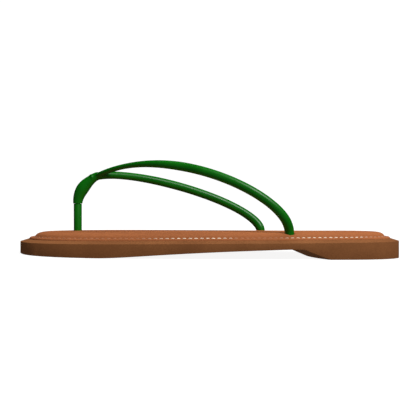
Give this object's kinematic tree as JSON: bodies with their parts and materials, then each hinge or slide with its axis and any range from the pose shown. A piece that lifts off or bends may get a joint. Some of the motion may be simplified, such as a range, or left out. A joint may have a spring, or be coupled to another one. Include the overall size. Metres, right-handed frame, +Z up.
{
  "type": "flip flop",
  "caption": "Left-foot flip flop: brown moulded sole with a low heel, stitched tan padded footbed and a glossy green Y strap between the toes",
  "frame": {"origin": "Middle of the bounding box's footprint, on the ground the sandal stands on.", "axes": "+X runs along the sole from toe to heel, so the toe points to -X. +Y is the inner side of the foot, where the big toe is. +Z is up."},
  "size_m": [0.2636, 0.0854, 0.0642],
  "materials": {
    "sole_rubber": "moulded brown rubber, satin, with a lighter worn rim",
    "board": "pressed fibre board, matte, hidden inside the footbed",
    "foam": "soft cream foam, matte, hidden inside the footbed",
    "footbed_leather": "smooth tan leather-like skin, satin",
    "thread": "off-white twisted thread",
    "strap_gloss": "glossy moulded green plastic",
    "plug_rubber": "dark brown rubber, satin"
  },
  "bodies": {
    "root": {"outsole": "sole_rubber", "insole_board": "board", "footbed_pad": "foam", "footbed_cover": "footbed_leather", "edge_stitching": "thread", "toe_post": "strap_gloss", "strap_yoke": "strap_gloss", "toe_plug": "plug_rubber", "outer_plug": "plug_rubber", "inner_plug": "plug_rubber"}
  },
  "joints": []
}
